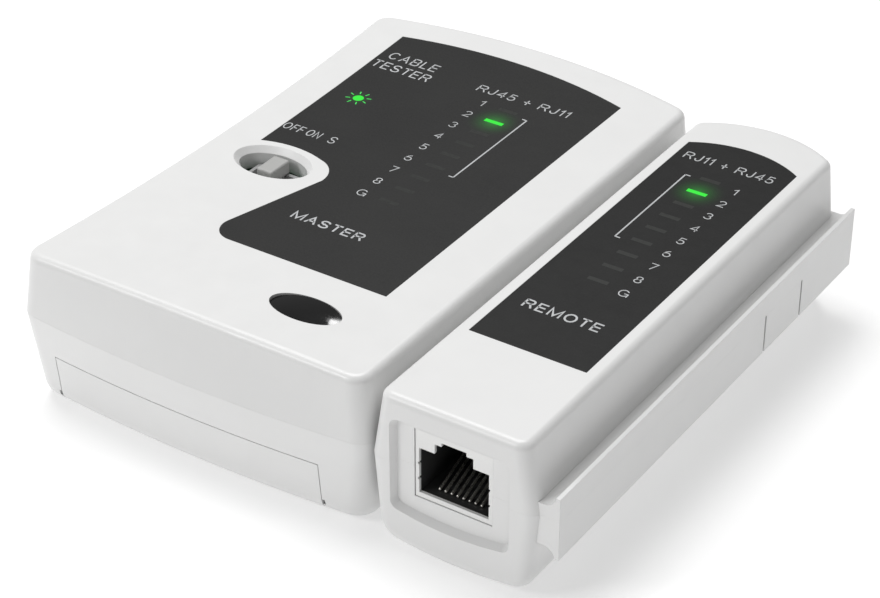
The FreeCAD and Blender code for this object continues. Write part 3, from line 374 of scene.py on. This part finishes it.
# Each letter: its width for a cap height of 1, and its strokes in a unit square.
LETTERS = {
    "A": (0.84, [[(0, 0), (0.5, 1), (1, 0)], [(0.2, 0.34), (0.8, 0.34)]]),
    "B": (0.74, [[(0, 0), (0, 1)], BOWL, turn(0.66, 0.25, 0.34, 0.25, 90, -90) + [(0, 0)]]),
    "C": (0.84, [turn(0.5, 0.5, 0.5, 0.5, 42, 318)]),
    "E": (0.68, [[(1, 1), (0, 1), (0, 0), (1, 0)], [(0, 0.52), (0.9, 0.52)]]),
    "F": (0.64, [[(1, 1), (0, 1), (0, 0)], [(0, 0.5), (0.86, 0.5)]]),
    "G": (0.88, [turn(0.5, 0.5, 0.5, 0.5, 42, 330), [(0.6, 0.46), (1, 0.46), (1, 0)]]),
    "J": (0.56, [[(1, 1)] + turn(0.5, 0.3, 0.5, 0.3, 0, -180)]),
    "L": (0.60, [[(0, 1), (0, 0), (1, 0)]]),
    "M": (0.94, [[(0, 0), (0, 1), (0.5, 0.06), (1, 1), (1, 0)]]),
    "N": (0.80, [[(0, 0), (0, 1), (1, 0), (1, 1)]]),
    "O": (0.90, [turn(0.5, 0.5, 0.5, 0.5, 90, 450)]),
    "R": (0.78, [[(0, 0), (0, 1)], BOWL, [(0.62, 0.5), (0.98, 0)]]),
    "S": (0.76, [turn(0.5, 0.75, 0.46, 0.25, 15, 270) + turn(0.5, 0.25, 0.5, 0.25, 90, -165)]),
    "T": (0.72, [[(0, 1), (1, 1)], [(0.5, 1), (0.5, 0)]]),
    "1": (0.30, [[(1, 0), (1, 1), (0, 0.76)]]),
    "2": (0.66, [turn(0.5, 0.71, 0.48, 0.29, 165, -35) + [(0, 0), (1, 0)]]),
    "3": (0.66, [turn(0.46, 0.76, 0.44, 0.24, 160, -90) + turn(0.46, 0.26, 0.5, 0.26, 90, -160)]),
    "4": (0.68, [[(0.76, 0), (0.76, 1), (0, 0.28), (1, 0.28)]]),
    "5": (0.66, [[(0.92, 1), (0.2, 1), (0.08, 0.5)] + turn(0.48, 0.32, 0.5, 0.32, 140, -155)]),
    "6": (0.66, [turn(0.5, 0.32, 0.5, 0.32, 90, 450), turn(0.95, 0.32, 0.95, 0.7, 108, 178)]),
    "7": (0.64, [[(0, 1), (1, 1), (0.36, 0)]]),
    "8": (0.68, [turn(0.5, 0.77, 0.43, 0.23, 90, 450), turn(0.5, 0.27, 0.5, 0.27, 90, 450)]),
    "+": (0.58, [[(0, 0.42), (1, 0.42)], [(0.5, 0.04), (0.5, 0.80)]]),
    " ": (0.34, []),
}
LETTER_GAP = 0.20
FINE_STROKE = 0.24              # millimetres
DIGIT_STROKE = 0.19
STROKES = {"master": 0.33, "remote": 0.33, "cable": 0.27, "tester": 0.27,
           "off": 0.20, "on": 0.20, "s": 0.20}


def ribbon(points, half):
    """The two edges of a stroke of constant width, mitred at its corners."""
    closed = (points[0] - points[-1]).length < TINY * MM
    count = len(points)
    left, right = [], []
    for n, point in enumerate(points):
        before = points[n - 1] if n else (points[-2] if closed else None)
        after = points[n + 1] if n < count - 1 else (points[1] if closed else None)
        into = (point - before).normalized() if before is not None else None
        out = (after - point).normalized() if after is not None else None
        if into is None or out is None:
            along = out if into is None else into
            offset = Vector((-along.y, along.x)) * half
            point = point + along * half * SQUARE_CAP * (1 if into is not None else -1)
        else:
            along = into + out
            along = along.normalized() if along.length > TINY else out
            across = Vector((-along.y, along.x))
            offset = across * half / max(MITRE_LIMIT, across.dot(Vector((-out.y, out.x))))
        left.append(point + offset)
        right.append(point - offset)
    return left, right


def legend(name, words, x_range, y_middle, cap, body, shader, stroke):
    """One line of printed capitals, fitted to its width and cap height."""
    half = stroke / 2 * MM
    natural = sum(LETTERS[c][0] for c in words) + LETTER_GAP * (len(words) - 1)
    unit = (x_range[1] - x_range[0]) / natural
    verts, faces = [], []
    x = x_range[0]
    for c in words:
        width, strokes = LETTERS[c]
        for run in strokes:
            points = [Vector((x + half + u * (width * unit - 2 * half),
                              y_middle - cap / 2 + half + v * (cap - 2 * half))) for u, v in run]
            left, right = ribbon(points, half)
            start = len(verts)
            for a, b in zip(left, right):
                verts += [(a.x, a.y, LABEL_TOP), (b.x, b.y, LABEL_TOP),
                          (a.x, a.y, LABEL_TOP + INK_T), (b.x, b.y, LABEL_TOP + INK_T)]
            last = start + 4 * (len(points) - 1)
            for k in range(start, last, 4):
                faces += [(k + 3, k + 7, k + 6, k + 2), (k, k + 4, k + 5, k + 1),
                          (k + 2, k + 6, k + 4, k), (k + 1, k + 5, k + 7, k + 3)]
            faces += [(start + 1, start + 3, start + 2, start), (last, last + 2, last + 3, last + 1)]
        x += (width + LETTER_GAP) * unit
    printed(name, verts, faces, body, shader)


def flat_bars(name, bars, body, shader):
    """Printed bars, each given by the four corners of its top."""
    verts = []
    faces = []
    for corners in bars:
        start = len(verts)
        verts += [(x, y, LABEL_TOP) for x, y in corners]
        verts += [(x, y, LABEL_TOP + INK_T) for x, y in corners]
        faces.append((start + 3, start + 2, start + 1, start))
        faces.append((start + 4, start + 5, start + 6, start + 7))
        for n in range(4):
            m = (n + 1) % 4
            faces.append((start + n, start + m, start + 4 + m, start + 4 + n))
    printed(name, verts, faces, body, shader)


def bar(x0, y0, x1, y1):
    return [(x0, y0), (x1, y0), (x1, y1), (x0, y1)]


BRACKET_STROKE = 0.26 * MM
BRACKET_TICK = 0.9 * MM
RAY_COUNT = 8
RAY_STROKE = 0.20 * MM
RAY_START = 1.45 * MM           # from the middle of the power light
RAY_END = 2.25 * MM


def bracket(name, x, y0, y1, side, body, shader):
    # A line with a short tick at each end that points at the lights.
    half = BRACKET_STROKE / 2
    reach = side * BRACKET_TICK
    bars = [bar(x - half, y0, x + half, y1)]
    for y in (y0, y1):
        near_x, far_x = sorted((x, x + reach))
        bars.append(bar(near_x, y - half, far_x, y + half))
    flat_bars(name, bars, body, shader)


def rays(name, centre, body, shader):
    # Short strokes around the power light.
    middle = centre.to_2d()
    bars = []
    for n in range(RAY_COUNT):
        angle = 2 * math.pi * (n + 0.5) / RAY_COUNT
        along = Vector((math.cos(angle), math.sin(angle)))
        side = Vector((-along.y, along.x)) * RAY_STROKE / 2
        start = middle + along * RAY_START
        end = middle + along * RAY_END
        bars.append([tuple(start - side), tuple(end - side), tuple(end + side), tuple(start + side)])
    flat_bars(name, bars, body, shader)


DIGITS = ["G", "8", "7", "6", "5", "4", "3", "2", "1"]
DIGIT_WIDTH = {"1": 0.75, "G": 1.75}
PLAIN_DIGIT_WIDTH = 1.3
DIGIT_CAP = 1.9 * MM
INK_GREY = (0.50, 0.51, 0.52)


def digit_column(prefix, x, rows, shift, body, shader):
    for mark, y in zip(DIGITS, rows):
        half = DIGIT_WIDTH.get(mark, PLAIN_DIGIT_WIDTH) * MM / 2
        legend(prefix + "_mark_" + mark, mark, (x - half, x + half), y + shift, DIGIT_CAP,
               body, shader, DIGIT_STROKE)


def print_words(body, words, shader):
    # Each entry: name, text, its two ends right of the master's side, its middle behind the front, its cap.
    for name, text, x0, x1, y, cap in words:
        legend(body + "_legend_" + name, text, (MASTER_RIGHT + x0 * MM, MASTER_RIGHT + x1 * MM),
               FRONT + y * MM, cap * MM, body, shader, STROKES.get(name, FINE_STROKE))


def print_master():
    ink = print_ink("legend_ink", INK_GREY)
    words = [("cable", "CABLE", -54.2, -44.2, 85.5, 2.5), ("tester", "TESTER", -55.2, -43.4, 81.7, 2.5),
             ("off", "OFF", -54.8, -50.8, 55.1, 2.1), ("on", "ON", -50.1, -47.4, 55.1, 2.1),
             ("s", "S", -45.6, -44.3, 55.1, 2.2), ("ports", "RJ45 + RJ11", -34.8, -16.7, 83.9, 2.2),
             ("master", "MASTER", -36.5, -23.0, 32.6, 2.2)]
    print_words("master", words, ink)
    digit_column("master", MASTER_RIGHT - 31.2 * MM, MASTER_ROWS, 0.0, "master", ink)
    bracket("master_bracket", MASTER_RIGHT - 21.7 * MM, FRONT + 55.9 * MM, FRONT + 78.4 * MM,
            -1, "master", ink)
    green = print_ink("ray_green", (0.05, 0.55, 0.10))
    # painted glow: the green ray ink emits as if lit by the power light
    green.set(Emission_Color=(*GREEN, 1.0), Emission_Strength=0.22)
    rays("power_light_rays", POWER_LIGHT, "master", green)


def print_remote():
    ink = print_ink("remote_legend_ink", INK_GREY)
    words = [("ports", "RJ11 + RJ45", 5.8, 22.0, 83.2, 2.2), ("remote", "REMOTE", 7.2, 20.5, 31.0, 2.3)]
    print_words("remote", words, ink)
    digit_column("remote", MASTER_RIGHT + 18.4 * MM, REMOTE_ROWS, -1.0 * MM, "remote", ink)
    bracket("remote_bracket", MASTER_RIGHT + 9.1 * MM, FRONT + 54.6 * MM, FRONT + 77.3 * MM,
            1, "remote", ink)


# ---------------------------------------------------------------- stage, light and camera

FLOOR_HALF = 3.0
FLOOR_DROP = 0.0002             # just under the part's feet


def make_floor():
    corners = [(x * FLOOR_HALF, y * FLOOR_HALF, 0) for x, y in ((-1, -1), (1, -1), (1, 1), (-1, 1))]
    mesh = bpy.data.meshes.new("floor")
    mesh.from_pydata(corners, [], [(0, 1, 2, 3)])
    floor = bpy.data.objects.new("floor", mesh)
    bpy.context.scene.collection.objects.link(floor)
    s = Shader("floor_paper")
    s.colour(s.mix(s.noise(60.0), (0.69, 0.69, 0.69), (0.72, 0.72, 0.72)))
    s.set(Emission_Color=(1.0, 1.0, 1.0, 1.0), Emission_Strength=0.40)
    s.roughness(s.spread(s.noise(25.0), 0.8, 0.9))
    mesh.materials.append(s.material)
    floor.location.z = -FLOOR_DROP


def area_light(name, place, target, size, power):
    data = bpy.data.lights.new(name, "AREA")
    data.shape = "RECTANGLE"
    data.size = size[0]
    data.size_y = size[1]
    data.energy = power
    light = bpy.data.objects.new(name, data)
    light.location = place
    light.rotation_euler = (Vector(target) - Vector(place)).to_track_quat("-Z", "Y").to_euler()
    bpy.context.scene.collection.objects.link(light)


def light_scene():
    world = bpy.data.worlds.new("soft_studio")
    world.use_nodes = True
    sky = world.node_tree.nodes["Background"]
    sky.inputs["Color"].default_value = (1.0, 1.0, 1.0, 1.0)
    sky.inputs["Strength"].default_value = 0.30
    bpy.context.scene.world = world
    area_light("overhead", (-0.22, 0.15, 0.75), (0, 0, 0), (0.45, 0.45), 4.2)
    area_light("front_left", (-0.45, -0.62, 0.55), (0, 0, 0.01), (0.24, 0.24), 2.0)
    area_light("back_spark", (-0.30, 0.63, 0.72), (0, 0, 0.02), (0.07, 0.07), 0.35)


CAMERA_AZIMUTH = math.radians(33.43)
CAMERA_ELEVATION = math.radians(33.05)
CAMERA_DISTANCE = 370.6 * MM
CAMERA_LENS = 101.8


def place_camera():
    # Long lens, from the front right and above, aimed at a spot on the master's top face.
    aim = Vector((MASTER_RIGHT - 3.65 * MM, FRONT + 24.7 * MM, TOP))
    level = math.cos(CAMERA_ELEVATION)
    back = Vector((math.sin(CAMERA_AZIMUTH) * level, -math.cos(CAMERA_AZIMUTH) * level,
                   math.sin(CAMERA_ELEVATION)))
    data = bpy.data.cameras.new("camera")
    data.sensor_width = 36.0
    data.lens = CAMERA_LENS
    data.clip_start = 0.01
    camera = bpy.data.objects.new("camera", data)
    camera.location = aim + back * CAMERA_DISTANCE
    camera.rotation_euler = (aim - camera.location).to_track_quat("-Z", "Y").to_euler()
    bpy.context.scene.collection.objects.link(camera)
    bpy.context.scene.camera = camera
    bpy.context.scene.view_settings.view_transform = "Standard"


dress_frame()
print_master()
print_remote()
make_floor()
light_scene()
place_camera()
